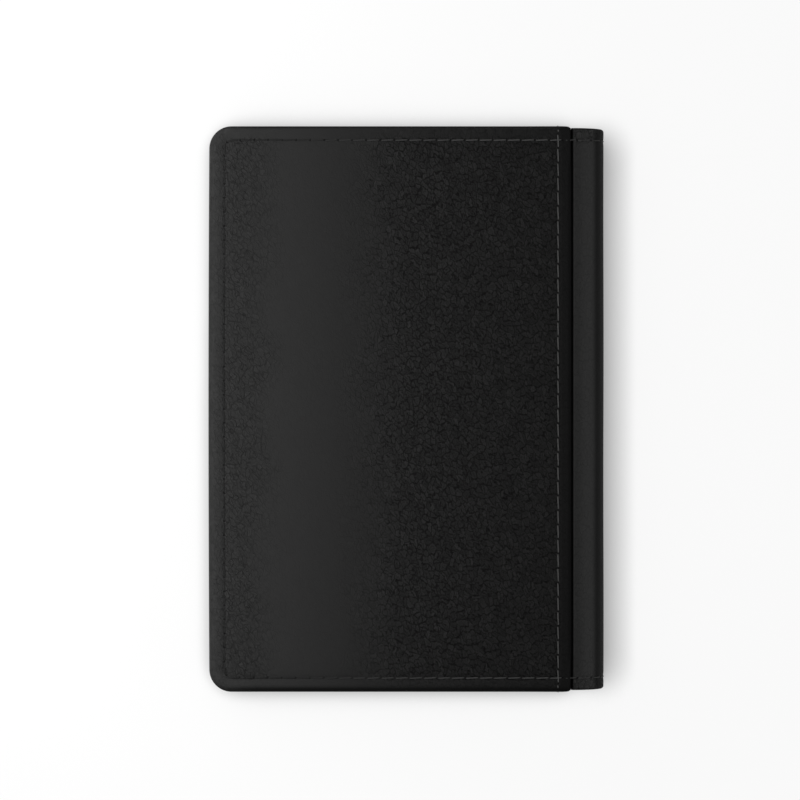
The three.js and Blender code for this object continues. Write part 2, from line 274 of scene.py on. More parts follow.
def rgba(colour, share):
    """A colour times a share, with full alpha."""
    return (*(share * channel for channel in colour[:3]), 1.0)


def needle_hole(nodes, along, across, pitch):
    """One at the needle holes of a seam: where the distance along it is a multiple of the pitch."""
    step = nodes.math("PINGPONG", along, pitch / 2)
    return nodes.math("SQRT", step * step + across * across).ramp(0.12, 0.34, 1.0, 0.0)


def cover_leather(name, sizes, colour, grain_share, gloss, shine):
    """Black leather with an embossed pebble grain, needle holes darkened with painted shade, a free
    edge paler from wear and a painted highlight, and painted shade on marked flanks.

    The grain is pressed flatter in a band down the panel, between its middle and the free edge, and
    in the margins outside the seams at head, tail and crease.
    """
    nodes = Nodes(name)
    flat = nodes.flat()
    u, v = nodes.split(flat)
    # Two nets of leaning cells, whose places wander, swell into pebbles with furrows between them
    bent = flat
    for scale, reach in ((0.45, 2.2), (1.5, 0.8)):
        bent = nodes.wander(bent, flat, scale, reach, centre=0.5)
    bent = nodes.add("Mapping", {"Vector": bent, "Rotation": GRAIN_LEAN, "Scale": GRAIN_SHAPE},
                     vector_type="TEXTURE")
    edges, tops = [], []
    for finer in (1.0, 1.9):
        scale = finer * MM / sizes.grain
        edge = nodes.net(bent, scale, feature="DISTANCE_TO_EDGE")
        own = nodes.add("SeparateColor", {0: nodes.net(bent, scale, output=1)})
        rim = edge.ramp(0.0, 0.2) - edge.ramp(0.2, 0.45, 0.0, 0.35)
        tops.append(rim * own.ramp(0.2, 1.0, 0.55, 1.15))
        edges.append(edge)
    pebble = tops[0] * 0.62 + tops[1] * 0.38
    furrow = nodes.most(edges[0].ramp(0.0, 0.14, 1.0, 0.0), edges[1].ramp(0.0, 0.13, 0.5, 0.0))
    broken = nodes.noise(flat, 0.6, 3.0, 0.6).ramp(0.38, 0.6, 0.25, 1.15)
    grain = pebble * 1.5 - 0.83 - furrow * broken
    # It is pressed flatter in the margins and in a band whose borders drift
    along, across = nodes.mark("edge_along"), nodes.mark("edge_across")
    free_x = PANEL_LOW[0] + FREE_SEAM_INSET
    margin = nodes.most(across.ramp(-0.9, -0.2, 0.3, 1.0),
                        u.ramp(free_x - 0.4, free_x + 0.4, 0.75, 0.3))
    margin = margin * u.ramp(CREASE_SEAM_X + 0.2, CREASE_SEAM_X + 0.9, 1.0, 0.3)
    drift = nodes.noise(flat, 0.07, 3.0) * 16.0 + u - 8.0
    kept = nodes.most(drift.ramp(-20.0, 4.0), drift.ramp(-42.0, -30.0, 0.4, 0.0))
    grain = grain * (kept * 0.92 + 0.08) * margin * grain_share
    # Needle holes of the edge seam, and of the seam beside the spine: pits in the bump, darkened
    # with painted shade
    edge_holes = needle_hole(nodes, along, across, sizes.stitch_pitch / MM)
    crease_holes = needle_hole(nodes, v - HOLE_Y, u - CREASE_SEAM_X, sizes.crease_pitch / MM)
    holes = nodes.most(edge_holes, crease_holes)
    bump = nodes.bump(nodes.noise(flat, 7.0, 3.0, 0.6) * 0.06 + grain - holes * 2.0, 0.1)
    # Furrows are darker and duller; the free edge is paler and smoother from wear and a painted
    # highlight; painted shade darkens and roughens marked flanks and darkens the needle holes
    wear_and_highlight = nodes.mark("wear_and_highlight") * nodes.noise(flat, 0.5, 4.0, 0.7).ramp(0.35, 0.7, 0.35, 1.0)
    painted_shade = nodes.mark("painted_shade")
    tone = nodes.shade(grain * 0.38 + 0.4, colour, 0.0, 2.5)
    for share, strength in ((painted_shade, 0.18), (wear_and_highlight, 1.7), (holes, 0.08)):
        tone = nodes.mix(share, tone, rgba(colour, strength))
    rough = painted_shade * 0.4 + gloss - grain * 0.07 - wear_and_highlight * 0.05
    return nodes.finish(Base_Color=tone, Roughness=rough, Normal=bump, Specular_IOR_Level=shine)


def pocket_leather(sizes, colours):
    """Thin lining leather with a fine even grain."""
    nodes = Nodes("fine_leather")
    flat = nodes.flat()
    bent = nodes.wander(flat, flat, 0.6, 1.4, centre=0.0)
    grain = nodes.net(bent, 2.2 * MM / sizes.grain, feature="DISTANCE_TO_EDGE").ramp(0.0, 0.3)
    bump = nodes.bump(nodes.noise(flat, 6.0, 3.0) * 0.3 + grain, 0.02)
    tone = nodes.shade(grain, colours.pocket, 0.6, 1.05)
    tone = nodes.mix(nodes.mark("wear_and_highlight"), tone, rgba(colours.pocket, 1.9))
    rough = grain.ramp(0.0, 1.0, 0.68, 0.54)
    return nodes.finish(Base_Color=tone, Roughness=rough, Normal=bump)


def lining_cloth(sizes, colours):
    """Plain woven cloth: warp and weft go over and under each other by turns."""
    nodes = Nodes("woven_cloth")
    flat = nodes.flat()
    turns = np.pi * MM / sizes.weave
    ways = [way * turns for way in nodes.split(flat)]
    warp, weft = (nodes.math("ABSOLUTE", nodes.math("SINE", way)) for way in ways)
    column, row = (nodes.math("FLOOR", nodes.math("DIVIDE", way, np.pi)) for way in ways)
    over = nodes.math("PINGPONG", column + row, 1.0)
    weave = nodes.add("Mix", {0: over, 2: warp, 3: weft}, data_type="FLOAT")
    slub = nodes.noise(flat, 0.9, 3.0)
    bump = nodes.bump(slub * 0.4 + weave, 0.09, 0.8)
    tone = nodes.shade((slub - 0.5) * 0.5 + weave, colours.lining, 0.45, 1.2)
    rough = weave.ramp(0.0, 1.0, 0.95, 0.8)
    return nodes.finish(Base_Color=tone, Roughness=rough, Normal=bump, Sheen_Weight=0.25,
                        Sheen_Roughness=0.4)


def sewing_thread(colours):
    """Twisted thread: plies run round it, painted shade darkens it where it dives into the leather,
    and a mark of painted light sets how pale it is along a seam.
    """
    nodes = Nodes("sewing_thread")
    flat = nodes.flat()
    u, v = nodes.split(flat)
    plies = nodes.math("SINE", u * 44.0 + v * (4 * np.pi)) * 0.5 + 0.5
    # Painted shade where each stitch dives into its hole
    painted_hole_shade = nodes.math("PINGPONG", u, 0.5).ramp(0.0, 0.08)
    tone = painted_hole_shade * (nodes.noise(flat, 9.0) * 0.35 + plies * 0.3 + 0.5)
    # Painted light: the thread is darker where the mark is low and paler where it is high
    strand = nodes.shade(nodes.mark("painted_light"), colours.thread, 0.14, 1.15)
    colour = nodes.mix(tone, rgba(colours.thread, 0.05), strand)
    bump = nodes.bump(plies, 0.04, 0.7)
    rough = plies.ramp(0.0, 1.0, 0.85, 0.65)
    return nodes.finish(Base_Color=colour, Roughness=rough, Normal=bump, Specular_IOR_Level=0.1)


def core_material(name, colour, scale, relief, rough, metallic):
    """A core layer's stuff: a cloudy tone and a rough surface of one scale per metre."""
    nodes = Nodes(name)
    place = nodes.add("TexCoord", output=3)
    cloud = nodes.noise(place, scale, 5.0, 0.65)
    spots = nodes.add("TexVoronoi", {"Vector": place, "Scale": scale * 2})
    height = spots * 0.5 + cloud * 0.7
    tone = nodes.shade(height, colour, 0.55, 1.25)
    bump = nodes.bump(height, relief, 0.8)
    roughness = cloud.ramp(0.3, 0.7, rough - 0.1, rough + 0.05)
    return nodes.finish(Base_Color=tone, Roughness=roughness, Normal=bump, Metallic=metallic)


def fade(values, low, high):
    """Grows evenly from 0 where the values are at low to 1 where they are at high."""
    return np.clip((values - low) / (high - low), 0, 1)


def smooth(share):
    """A share from 0 to 1 that sets off and arrives gently."""
    return share**2 * (3 - 2 * share)


def way_along(line):
    """The length of a line up to each of its points."""
    return np.concatenate([[0], np.cumsum(np.linalg.norm(np.diff(line, axis=0), axis=1))])


def grid_quads(rows, columns, offset=0):
    """The four-sided faces of a grid stored row by row; rows crossed with columns point out."""
    index = offset + np.arange(rows * columns).reshape(rows, columns)
    quads = [index[:-1, :-1], index[1:, :-1], index[1:, 1:], index[:-1, 1:]]
    return np.stack(quads, -1).reshape(-1, 4)


def grid_normals(points):
    """Unit normals of a grid: its change along rows crossed with its change along columns."""
    normals = np.cross(np.gradient(points, axis=0), np.gradient(points, axis=1))
    return normals / np.linalg.norm(normals, axis=-1, keepdims=True)


def closed_shell(outer, inner):
    """Two like grids, the outer one facing out, joined round their borders by a rim."""
    rows, columns = outer.shape[:2]
    count = rows * columns
    index = np.arange(count).reshape(rows, columns)
    border = np.concatenate([index[:-1, 0], index[-1, :-1], index[:0:-1, -1], index[0, :0:-1]])
    following = np.roll(border, -1)
    rim = np.stack([following, border, border + count, following + count], -1)
    faces = [grid_quads(rows, columns), grid_quads(rows, columns, count)[:, ::-1], rim]
    points = np.concatenate([outer.reshape(-1, 3), inner.reshape(-1, 3)])
    return points, np.concatenate(faces)


def make_piece(name, points, faces, material, flat, marks=None, sharp=None):
    """A mesh object from points in millimetres and four-sided faces, with its flat pattern as UV.

    The pattern has one row for each point or for each face corner. Marks are numbers at points.
    """
    mesh = bpy.data.meshes.new(name)
    mesh.vertices.add(len(points))
    mesh.vertices.foreach_set("co", (points * MM).astype(np.float32).ravel())
    mesh.loops.add(faces.size)
    mesh.loops.foreach_set("vertex_index", faces.astype(np.int32).ravel())
    mesh.polygons.add(len(faces))
    mesh.polygons.foreach_set("loop_start", np.arange(0, faces.size, 4, dtype=np.int32))
    mesh.update(calc_edges=True)
    corners = flat if len(flat) == faces.size else flat[faces.ravel()]
    mesh.uv_layers.new(name="flat").data.foreach_set("uv", corners.astype(np.float32).ravel())
    for key, values in (marks or {}).items():
        mark = mesh.attributes.new(key, "FLOAT", "POINT")
        mark.data.foreach_set("value", values.astype(np.float32).ravel())
    mesh.shade_smooth()
    if sharp:
        mesh.set_sharp_from_angle(angle=sharp)
    mesh.materials.append(bpy.data.materials[material])
    if mesh.validate():
        raise RuntimeError(f"{name} has faces that are not valid")
    piece = bpy.data.objects.new(name, mesh)
    bpy.context.scene.collection.objects.link(piece)
    return piece


def turned_over(points):
    """Points of the front half, mirrored to the back half."""
    return points * (1, 1, -1) + (0, 0, THICKNESS)


def both(values):
    """A grid's numbers for the two walls of a shell."""
    flat = values.reshape(-1, *values.shape[2:])
    return np.concatenate([flat, flat])


def make_shell(name, walls, material, flat, marks=None, side="", inside=True):
    """A sheet between two walls, of which the first shows, closed round its border.

    With a side, the walls are in x, y and depth, on the panel's inside or its outside, and go to
    x, y and height with faces that point out again.
    """
    points, faces = closed_shell(*walls)
    if side == "back":
        points = turned_over(points)
    if side and inside == (side == "back"):
        faces = faces[:, ::-1]
    marks = {key: both(values) for key, values in (marks or {}).items()}
    return make_piece(name, points, faces, material, both(flat), marks, SHARP_EDGE)


def dress(piece, body, slot, *nodes):
    """Attaches a piece to the body it moves with, if one is given, and hides the parts it stands
    for; slot is not used.
    """
    if body:
        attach(piece, body)
    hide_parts(*nodes)


def quarter(centre, radius, start, count):
    """Points of a quarter turn about a centre (inset, depth), from an angle of start turns."""
    angle = (start + np.linspace(0, 1, count)) * TURN
    return [(centre[0] - radius * np.sin(a), centre[1] + radius * np.cos(a)) for a in angle]


def ring_table(profile, band):
    """Inset, depth and flat inset of each ring of an edge profile.

    The flat inset is the band's width less the profile's length from the ring to the band's border.
    """
    rings = np.array(profile, float)
    ends = np.vstack([rings, [band, rings[-1, 1]]])
    return np.column_stack([rings, band - way_along(ends[::-1])[:0:-1]])


def line_table(count, low, high, plain):
    """Side (-1, 0 or 1), ring number and place of each line of an onion grid across one axis."""
    rings = np.arange(count)
    low_rings, high_rings = rings if low else rings[:0], rings[::-1] if high else rings[:0]
    before, after = len(low_rings), len(high_rings)
    side = np.concatenate([-np.ones(before), np.zeros(len(plain)), np.ones(after)])
    ring = np.concatenate([low_rings, np.full(len(plain), count), high_rings])
    place = np.concatenate([np.zeros(before), plain, np.zeros(after)])
    return side, ring, place


def onion_grid(box, tables, band, corners, sides, columns, rows):
    """A grid whose outer lines follow a rectangle's outline, ring inside ring, with round corners.

    A point in a side band lies at its ring's inset. In a corner it lies on its ring's own rounded
    corner, at a share of the way from the band's border to the corner's middle that grows as the
    line that crosses there moves outwards. Inside the bands it lies where a column and a row cross.
    box is (left, right, bottom, top), sides says which of these have bands, tables are the ring
    tables of the side bands on the left, on the right, and at bottom and top, and corners are the
    corner radii on the left and on the right. Gives a dict of arrays.
    """
    count = len(tables[0])
    side_x, ring_x, place_x = line_table(count, sides[0], sides[1], columns)
    side_y, ring_y, place_y = line_table(count, sides[2], sides[3], rows)
    a, b = np.meshgrid(ring_x.astype(int), ring_y.astype(int), indexing="ij")
    side_a, side_b = np.meshgrid(side_x, side_y, indexing="ij")
    place_a, place_b = np.meshgrid(place_x, place_y, indexing="ij")
    ring, crossing = np.minimum(a, b), np.maximum(a, b)
    share = np.where(ring < count, (count - crossing) / np.maximum(count - ring, 1), 0.0)
    left, right, ends = (np.vstack([table, [band, table[-1, 1], band]])[ring] for table in tables)
    upright = a <= b  # the point belongs to the left or the right band
    flank = np.where(side_a[..., None] > 0, right, left)
    own = np.where(upright[..., None], flank, ends)
    middle = (flank + ends) / 2
    inset, depth, flat = np.moveaxis(own + (middle - own) * share[..., None], -1, 0)
    corner = np.where(side_a > 0, corners[1], corners[0])
    radius = np.clip(corner - inset, 0, None)
    straight = band - inset - radius
    way = share * (straight + radius * TURN / 2)
    angle = np.clip(way - straight, 0, None) / np.where(radius > 0, radius, 1) * (radius > 0)
    across = inset + radius * (1 - np.cos(angle))
    along = np.where(angle > 0, inset + radius * (1 - np.sin(angle)), band - way)
    grow = flat - inset
    across_flat = across + grow * np.cos(angle)
    along_flat = along + grow * np.where(radius > 0, np.sin(angle), share)

    def settle(low, high, side, place, in_upright, in_level):
        inwards = np.where(upright, in_upright, in_level)
        return np.where(side < 0, low + inwards, np.where(side > 0, high - inwards, place))

    return {
        "x": settle(box[0], box[1], side_a, place_a, across, along),
        "y": settle(box[2], box[3], side_b, place_b, along, across),
        "u": settle(box[0], box[1], side_a, place_a, across_flat, along_flat),
        "v": settle(box[2], box[3], side_b, place_b, along_flat, across_flat),
        "depth": depth, "inset": flat, "share": share, "upright": upright,
        "side_x": side_a, "side_y": side_b, "inner": ring == count,
    }


def at_depth(grid, depth):
    """The points of an onion grid at some depth."""
    return np.stack(np.broadcast_arrays(grid["x"], grid["y"], depth), -1)


def pattern(grid):
    """The flat pattern of an onion grid."""
    return np.stack([grid["u"], grid["v"]], -1)


def edge_profile(seam):
    """Section of a panel's leather, from its lip over the rolled edge and seam to the face."""
    return [
        (LIP_WIDTH, LIP_DEPTH - 0.13), (LIP_WIDTH - 0.3, LIP_DEPTH - 0.03),
        *((inset, LIP_DEPTH) for inset in (6.5, 4.2, 2.4)),
        *quarter((1.1, LIP_DEPTH - 1.1), 1.1, 0, 5), (0, 2.4),
        *quarter((1.4, 1.5), 1.4, 1, 7), (2.0, 0.085), (2.7, 0.10),
        (seam - 0.45, 0.15), (seam - 0.2, 0.20), (seam, SEAM_DEPTH), (seam + 0.2, 0.20),
        (seam + 0.5, 0.13), (seam + 1.15, 0.07), (6.0, 0.02), (7.5, 0.0), (9.5, 0.0),
    ]


CREASE_PROFILE = [
    (5.0, HEM_DEPTH - 0.1), (4.7, HEM_DEPTH - 0.03),
    *((inset, HEM_DEPTH) for inset in (4.0, 3.0, 1.8)),
    *quarter((0.8, HEM_DEPTH - 0.8), 0.8, 0, 5), (0, 1.8),
    *quarter((0.32, 0.39), 0.32, 1, 7), (1.2, 0.055), (2.3, 0.06),
    (3.0, 0.11), (3.3, 0.17), (PANEL_HIGH[0] - CREASE_SEAM_X, 0.185), (3.7, 0.17),
    (4.0, 0.11), (4.7, 0.05), (6.0, 0.01), (7.5, 0.0), (9.5, 0.0),
]
EDGE_PROFILE = edge_profile(SEAM_INSET)
EDGE_ROLL = slice(11, 20)  # the rows of an edge profile from the flank over the roll to the margin
PANEL_RINGS = [ring_table(profile, EDGE_BAND)
               for profile in (edge_profile(FREE_SEAM_INSET), CREASE_PROFILE, EDGE_PROFILE)]


def bowed(x, y):
    """The panel's hand-made outline: the free edge bows, and the corners by the spine drop."""
    free = fade(x, 0, PANEL_LOW[0])
    late = fade(x, DROP_FROM, PANEL_HIGH[0])
    drop = CORNER_DROP * late**2 / HALF_HEIGHT
    return x + EDGE_BOW * free * (y / HALF_HEIGHT) ** 2, y * (1 - drop)


def seam_inset(share):
    """The seam's inset at a share of the way round a corner, from head or tail to the free edge."""
    return SEAM_INSET + (FREE_SEAM_INSET - SEAM_INSET) * share


def edge_seam_marks(grid, columns, rows, radius):
    """Way of each point along the edge seam, from a needle hole at the head, and across it.

    The way leads along the head, round the free edge and along the tail.
    """
    halves = [EDGE_BAND - radius + (radius - seam_inset(share)) * TURN / 2
              for share in (0.25, 0.75)]
    whole, head, flank = sum(halves), HOLE_X - columns[0], rows[-1] - rows[0]
    upright, share = grid["upright"], grid["share"]
    top, free, level = grid["side_y"] > 0, grid["side_x"] < 0, grid["side_y"] == 0
    corner = np.where(upright, whole - share * halves[1], share * halves[0])
    on_top = np.where(free, head + corner, HOLE_X - grid["u"])
    on_tail = head + 2 * whole + flank + np.where(free, -corner, grid["u"] - columns[0])
    on_flank = head + whole + rows[-1] - grid["y"]
    along = np.where(level, on_flank, np.where(top, on_top, on_tail))
    far = 99.0  # no needle hole shows at this distance
    ends = np.where(top, HALF_HEIGHT - grid["v"], HALF_HEIGHT + grid["v"]) - SEAM_INSET
    beside = grid["inset"] - seam_inset(np.where(upright, 1 - share / 2, share / 2))
    return along, np.where(free, beside, np.where(level, far, ends))


def panel_leather(sizes):
    """A panel's leather as x, y, depth, with its flat pattern and its marks.

    The edge profile is carried round the outline as an onion grid, and the face has a slow ripple.
    """
    box = (PANEL_LOW[0], PANEL_HIGH[0], -HALF_HEIGHT, HALF_HEIGHT)
    radius = sizes.corner_radius / MM
    columns = np.linspace(box[0] + EDGE_BAND, box[1] - EDGE_BAND, 36)
    rows = np.linspace(box[2] + EDGE_BAND, box[3] - EDGE_BAND, 56)
    grid = onion_grid(box, PANEL_RINGS, EDGE_BAND, (radius, CREASE_CORNER), (1, 1, 1, 1),
                      columns, rows)
    x, y = bowed(grid["x"], grid["y"])
    ripple = np.sin(0.11 * x + 0.6) * np.sin(0.083 * y + 1.1) + np.sin(0.05 * x - 0.07 * y)
    calm = fade(grid["inset"], 5, EDGE_BAND) * (grid["depth"] < 0.2)
    depth = grid["depth"] + 0.02 * calm * (1 + 0.5 * ripple)
    points = np.stack([x, y, depth], -1)
    along, across = edge_seam_marks(grid, columns, rows, radius)
    # The free edge is worn and gets a painted highlight, less so round its corners
    wear_and_highlight = np.exp(-((grid["inset"] - 0.2) / 2.6) ** 2) * (grid["side_x"] < 0)
    wear_and_highlight = wear_and_highlight * np.where(grid["upright"], 1, grid["share"])
    # Painted shade, which also roughens: flanks that look to the head, the tail and the spine, a
    # strip beside the crease, the edge by the spine and the tail's edge are darkened
    out = -grid_normals(points)
    flank = np.max([out[..., 1], -out[..., 1] + 0.2, out[..., 0]], axis=0)
    crease_strip = fade(x, CREASE_SEAM_X + 0.3, CREASE_SEAM_X + 0.8)
    painted_shade = np.max([fade(flank, 0.45, 0.85), np.minimum(crease_strip, 0.58),
                   fade(x, PANEL_HIGH[0] - 0.8, PANEL_HIGH[0] - 0.35),
                   fade(-y, HALF_HEIGHT - 1.9, HALF_HEIGHT - 0.6)], axis=0)
    marks = {"edge_along": along, "edge_across": across, "wear_and_highlight": wear_and_highlight, "painted_shade": smooth(painted_shade)}
    return points, pattern(grid), marks


def spine_section():
    """Section of the spine's leather along y, as y, depth and flat y, from lip over hem to lip."""
    top = SPINE_HALF_HEIGHT - SPINE_HEM
    lip = [(64.3, 1.4), (64.7, 1.5), (67.0, 1.5), (70.0, 1.5)]
    angle = np.linspace(0, 2 * TURN, 9)
    hem = [(top + SPINE_HEM * np.sin(a), SPINE_HEM + SPINE_HEM * np.cos(a)) for a in angle]
    seam = HALF_HEIGHT - SEAM_INSET
    face = [(seam + 1.2, 0.0), (seam + 0.7, 0.03), (seam + 0.35, 0.08), (seam, 0.11),
            (seam - 0.35, 0.08), (seam - 0.7, 0.03), (seam - 1.3, 0.0)]
    half = np.array([*lip, *hem, *face])
    middle = np.column_stack([np.linspace(66, -66, 61), np.zeros(61)])
    section = np.vstack([half, middle, half[::-1] * (-1, 1)])
    flat = -way_along(section)
    return section[:, 0], section[:, 1], flat - flat.mean()


def spine_wall(angles, pitch):
    """The spine's outer surface between two angles: a round wall that dives into both creases.

    Its mark along the head and tail seams is scaled so that the stitches fill each half.
    """
    y, depth, flat = spine_section()
    angles = angles[:, None]
    reach = SPINE_RADIUS * np.minimum(angles + TURN, TURN - angles)
    dive = 0.95 * np.exp(-((np.clip(reach + 0.02, 0, None) / 0.26) ** 2.2))
    radius = SPINE_RADIUS - depth - dive * (1 - depth / 1.5)
    radius = radius + 0.03 * np.sin(0.09 * y + 2 * angles) * (depth < 0.01)
    x, z = CREASE_X + radius * np.cos(angles), SPINE_RADIUS + radius * np.sin(angles)
    stitch = (SPINE_RADIUS * TURN - SPINE_HOLE) / SPINE_STITCHES
    along = pitch * (SPINE_RADIUS * (TURN - np.abs(angles)) - SPINE_HOLE) / stitch
    far = 9.0  # no needle hole shows at this distance
    across = np.where(depth < 0.3, np.abs(y) - HALF_HEIGHT + SEAM_INSET, far)
    # Painted shade, which also roughens: the spine's middle, its dive into a crease and its hems
    # are darkened
    painted_shade = np.maximum(fade(reach, 5.2, 7.6), fade(reach, 0.55, 0.25))
    hem = fade(np.abs(y), SPINE_HALF_HEIGHT - 0.55, SPINE_HALF_HEIGHT - 0.2)
    marks = {"edge_along": along, "edge_across": across, "painted_shade": smooth(np.maximum(painted_shade, hem))}
    marks = {key: np.broadcast_to(values, x.shape) for key, values in marks.items()}
    spread = np.stack(np.broadcast_arrays(FOLD_U + SPINE_RADIUS * angles, flat), -1)
    return np.stack(np.broadcast_arrays(x, y, z), -1), spread, marks


def on_spine(angles, radius):
    """Points of a round about the spine's middle, as x and height."""
    height = SPINE_RADIUS + radius * np.sin(angles)
    return np.column_stack([CREASE_X + radius * np.cos(angles), height])


# The spine's soft pieces are divided along its fold; these give the span of each half's bend away
# from one panel
BEND_LEAN = np.radians(69)
BEND_FROM, BEND_TO = -2.4, 12.64


def bend_at_hinge(piece, part):
    """Works out the span over which a half of the spine, which joins two bodies, would bend to lie
    flat when open, and bakes the piece's transform into its mesh; the bend itself is not set up.
    The span lies along a leaning line through the crease, which is chosen so that each point of the
    round would turn by half its own angle round the spine and come down to the panel's level.
    """
    way = np.array([np.cos(BEND_LEAN), 0, np.sin(BEND_LEAN)])
    span = [HINGES["front_crease"] + reach * way for reach in (BEND_FROM, BEND_TO)]
    if part == "back":
        span = [turned_over(point) for point in span[::-1]]
    tuple(span[0] * MM)
    tuple(span[1] * MM)
    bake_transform(piece)


def stitch_row(path, normal, starts, pitch, width, gap=0.12, lift=0.13):
    """Every stitch of a row as one mesh, each a short slanted length of thread.

    A stitch is a six-sided section carried along the path from hole to hole. It rises from below
    the surface at both ends, so it is highest in its middle, and its section is flatter than
    wide. path and normal are points and directions at equal steps along the row.
    """
    share = np.array([0.0, 0.06, 0.2, 0.5, 0.8, 0.94, 1.0])
    angle = np.arange(6) * TURN * 2 / 3
    way = (starts[:, None] + gap / 2 + share[None] * (pitch - gap)) / PATH_STEP
    place = np.arange(len(path))

    def at(values):
        return np.stack([np.interp(way, place, values[:, axis]) for axis in range(3)], -1)

    forward, up = at(np.gradient(path, axis=0)), at(normal)
    forward /= np.linalg.norm(forward, axis=-1, keepdims=True)
    aside = np.cross(forward, up)
    aside /= np.linalg.norm(aside, axis=-1, keepdims=True)
    bend = np.abs(2 * share - 1)
    rise = (lift - (lift + 0.3) * bend**8)[None, :, None]
    slant = ((share - 0.5) * 0.14)[None, :, None]
    centre = at(path) + up * rise + aside * slant
    half = (width / 2 * (1 - 0.2 * bend**4))[None, :, None, None]
    over, beside = np.sin(angle)[:, None], np.cos(angle)[:, None]
    around = aside[:, :, None] * beside + 0.62 * up[:, :, None] * over
    points = centre[:, :, None] + half * around
    count, rings = len(starts), len(share)
    first = np.arange(count)[:, None, None] * rings * 6
    ring, side = np.arange(rings - 1)[None, :, None], np.arange(6)[None, None]
    here, turned = first + ring * 6 + side, first + ring * 6 + (side + 1) % 6
    quads = np.stack([here, here + 6, turned + 6, turned], -1).reshape(-1, 4)
    cap = np.array([[0, 1, 2, 3], [0, 3, 4, 5]])
    far = cap[:, ::-1] + (rings - 1) * 6
    caps = (first.reshape(-1, 1, 1) + np.concatenate([cap, far])[None]).reshape(-1, 4)
    corners = np.stack(np.broadcast_arrays(
        share[ring + np.array([0, 1, 1, 0])[:, None, None, None]] + 0.0 * first,
        (side + np.array([0, 0, 1, 1])[:, None, None, None]) / 6), -1)
    quad_flat = np.moveaxis(corners, 0, -2).reshape(-1, 2)
    cap_flat = np.tile(np.repeat([[0.0, 0.0], [1.0, 0.0]], 8, axis=0), (count, 1))
    flat = np.concatenate([quad_flat, cap_flat])
    return points.reshape(-1, 3), np.concatenate([quads, caps]), flat


def even_path(points, normals):
    """A path and its normals at equal steps along its length."""
    lengths = way_along(points)
    way = np.arange(0, lengths[-1], PATH_STEP)
    path, facing = (np.stack([np.interp(way, lengths, values[:, axis]) for axis in range(3)], -1)
                    for values in (points, normals))
    return path, facing / np.linalg.norm(facing, axis=1, keepdims=True)


def path_length(path):
    """Length of a path of equal steps."""
    return PATH_STEP * (len(path) - 1)


def join(rows):
    """Several meshes of stitches as one."""
    offsets = np.cumsum([0] + [len(points) for points, _, _ in rows[:-1]])
    faces = np.concatenate([faces + offset for (_, faces, _), offset in zip(rows, offsets)])
    # Face corners are stored in the order of the faces, so the patterns follow on as they are
    return np.concatenate([r[0] for r in rows]), faces, np.concatenate([r[2] for r in rows])


def row_turned_over(row):
    """Stitches of the front half, mirrored to the back half, with faces that point out again."""
    points, faces, flat = row
    return turned_over(points), faces[:, ::-1], flat.reshape(-1, 4, 2)[:, ::-1].reshape(-1, 2)


def edge_seam(radius, start_x, end_x, depth):
    """The edge seam's line in x, y, depth: along the head, round the free edge, along the tail."""
    angle = np.linspace(0, TURN, 13)
    turn = radius - seam_inset(angle / TURN)
    low, high = PANEL_LOW[0] + radius, HALF_HEIGHT - radius
    corner = np.stack([low - turn * np.sin(angle), high + turn * np.cos(angle)], -1)
    upper = np.vstack([[start_x, corner[0, 1]], corner])
    lower = np.vstack([corner[::-1] * (1, -1), [end_x, -corner[0, 1]]])
    flank = np.column_stack([np.full(30, corner[-1, 0]), np.linspace(high, -high, 32)[1:-1]])
    x, y = bowed(*np.vstack([upper, flank, lower]).T)
    return np.column_stack([x, y, np.full(len(x), depth)])


def out_normals(points):
    """Directions straight out of a panel's face, at each point of a path in x, y, depth."""
    return np.tile([0.0, 0.0, -1.0], (len(points), 1))


def crease_seam_line():
    """The crease seam's line in x, y, depth, with normals: over the rolled edge at both ends."""
    roll = np.array(EDGE_PROFILE[EDGE_ROLL])
    ends = np.column_stack([HALF_HEIGHT - roll[:, 0], roll[:, 1] + 0.06])
    middle = np.array([[HALF_HEIGHT - 8, 0.17], [8 - HALF_HEIGHT, 0.17]])
    line = np.vstack([ends, middle, ends[::-1] * (-1, 1)])
    lean = fade(np.abs(line[:, 0]), HALF_HEIGHT - 1.4, HALF_HEIGHT)
    still = np.zeros(len(line))
    normals = np.column_stack([still, 1.2 * np.sign(line[:, 0]) * lean, still - 1])
    return np.column_stack([still + CREASE_SEAM_X, line]), normals


def spine_seam_line(y):
    """The seam across the spine's front half: from the panel through the crease to the fold."""
    panel = np.array([[HOLE_X, 0.2], [42.2, 0.2], [42.7, 0.42], [42.95, 0.62], [43.2, 0.5]])
    angle = np.linspace(0.07 - TURN, 0, 30)
    line = np.vstack([panel, on_spine(angle, SPINE_RADIUS - 0.09)])
    slope = np.gradient(line, axis=0)
    points = np.column_stack([line[:, 0], np.full(len(line), y), line[:, 1]])
    return points, np.column_stack([slope[:, 1], np.zeros(len(line)), -slope[:, 0]])


